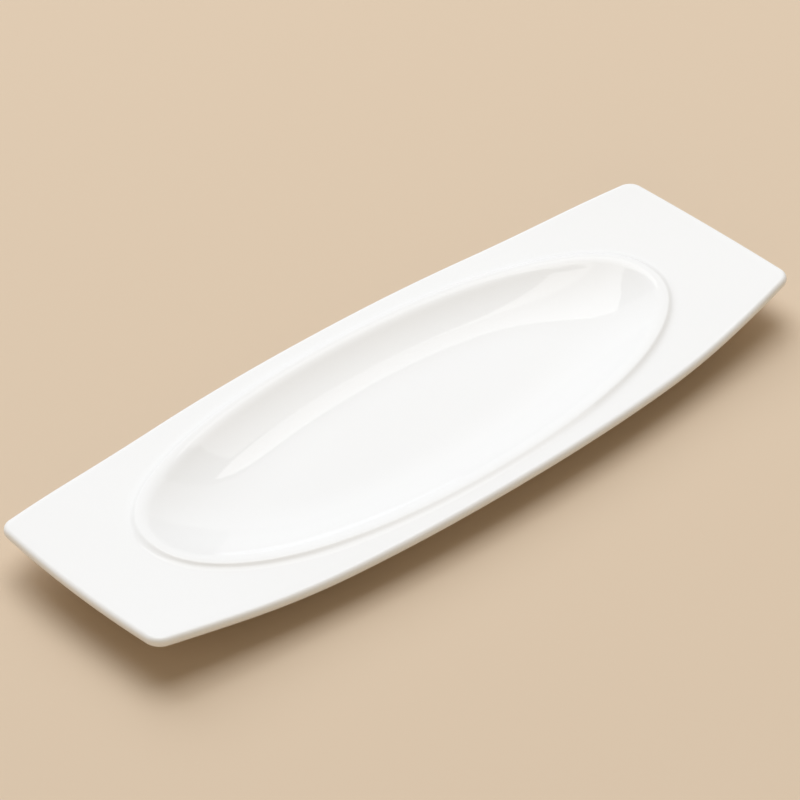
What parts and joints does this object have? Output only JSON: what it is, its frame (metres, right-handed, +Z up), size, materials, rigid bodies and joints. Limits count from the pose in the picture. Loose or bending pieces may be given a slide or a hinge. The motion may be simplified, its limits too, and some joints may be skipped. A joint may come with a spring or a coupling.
{
  "type": "rectangular plate",
  "caption": "Long rectangular serving plate in white glazed porcelain, with bowed long sides, upcurled ends and a shallow oval well ringed by a raised bead.",
  "frame": {"origin": "on the surface that the plate stands on, under the middle of the well", "axes": "+X along the plate's length, +Y across it, +Z up out of the well"},
  "size_m": [0.356, 0.13, 0.0215],
  "materials": {
    "biscuit": "matt, unglazed",
    "glaze": "gloss, white"
  },
  "bodies": {
    "root": {"porcelain_body": "biscuit", "glaze_coat": "glaze", "base_glaze": "glaze"}
  },
  "joints": []
}
